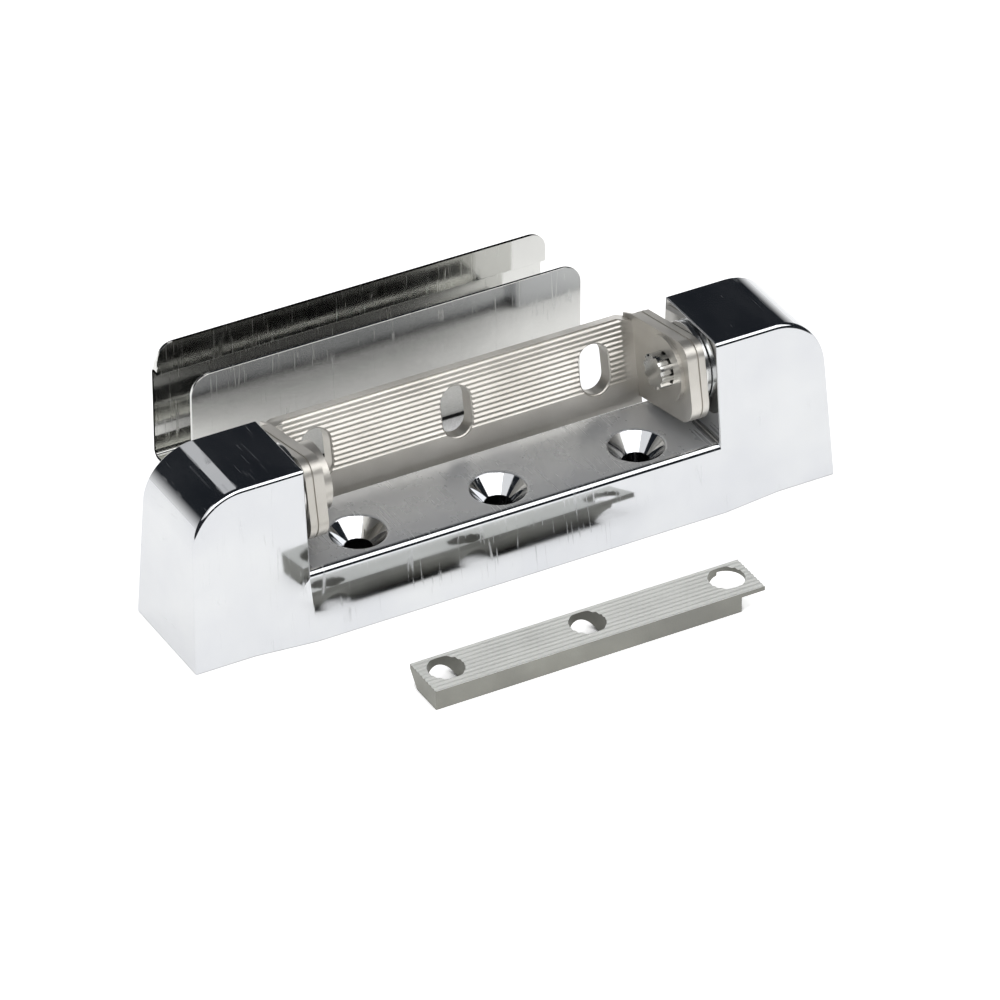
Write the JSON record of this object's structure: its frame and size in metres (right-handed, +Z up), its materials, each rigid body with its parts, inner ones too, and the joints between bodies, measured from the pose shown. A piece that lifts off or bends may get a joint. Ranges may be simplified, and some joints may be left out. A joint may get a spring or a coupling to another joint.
{
  "type": "self-closing door hinge",
  "caption": "Concealed self-closing hinge: chromed channel housing, ribbed slotted leaf on sprung pivots, with its loose clamp bar and two loose sheet covers.",
  "frame": {"origin": "on the axis of the middle base screw, in the plane that the housing is screwed down on", "axes": "+X along the hinge, parallel to the pivot axis; +Y from the screw line towards the leaf; +Z up, away from the mounting surface"},
  "size_m": [0.146, 0.1064, 0.0376],
  "materials": {
    "polished_chrome": "mirror-polished plating on die-cast zinc, finely scratched",
    "satin_nickel_cast": "satin nickel-chrome plating, slightly grainy",
    "bright_steel": "bright turned steel",
    "spring_steel": "oil-tempered wire and blackened rings",
    "washer_steel": "tumbled stainless washers",
    "zinc_plated_steel": "zinc-plated steel",
    "bronze": "sintered bronze",
    "nylon": "natural nylon",
    "blasted_zinc": "raw blasted zinc casting, sparkly and matte",
    "mirror_stainless": "mirror-polished stainless sheet, lightly scratched"
  },
  "bodies": {
    "base": {"housing": "polished_chrome", "right_thrust_washer": "washer_steel", "left_thrust_washer": "washer_steel", "cartridge_tube": "zinc_plated_steel", "shaft_bush": "bronze", "spring_guide": "nylon", "torsion_spring": "spring_steel", "spring_anchor": "zinc_plated_steel", "cartridge_pin": "bright_steel", "pivot_sleeve": "bronze", "sleeve_pin": "bright_steel"},
    "swinging_leaf": {"leaf": "satin_nickel_cast", "spline_shaft": "bright_steel", "shaft_ring": "spring_steel", "pivot_pin": "bright_steel", "pin_ring": "spring_steel"},
    "loose_bar": {"clamp_bar": "blasted_zinc"},
    "loose_flat_cover": {"flat_cover": "mirror_stainless"},
    "loose_stepped_cover": {"stepped_cover": "mirror_stainless"}
  },
  "joints": [
    {"name": "leaf_swing", "type": "hinge", "parent": "base", "child": "swinging_leaf", "pos_m": [0, 0.004, 0.0283], "axis": [1, 0, 0], "range_deg": [0, 168], "stiffness_Nm_per_rad": 0.23, "springref_deg": -20.05, "deforming": ["torsion_spring"]},
    {"name": "bar_lift", "type": "slide", "parent": "base", "child": "loose_bar", "axis": [0, 0, 1], "range_m": [0, 0.05]},
    {"name": "flat_cover_lift", "type": "slide", "parent": "base", "child": "loose_flat_cover", "axis": [0, 0, 1], "range_m": [0, 0.05]},
    {"name": "stepped_cover_lift", "type": "slide", "parent": "base", "child": "loose_stepped_cover", "axis": [0, 0, 1], "range_m": [0, 0.05]}
  ]
}
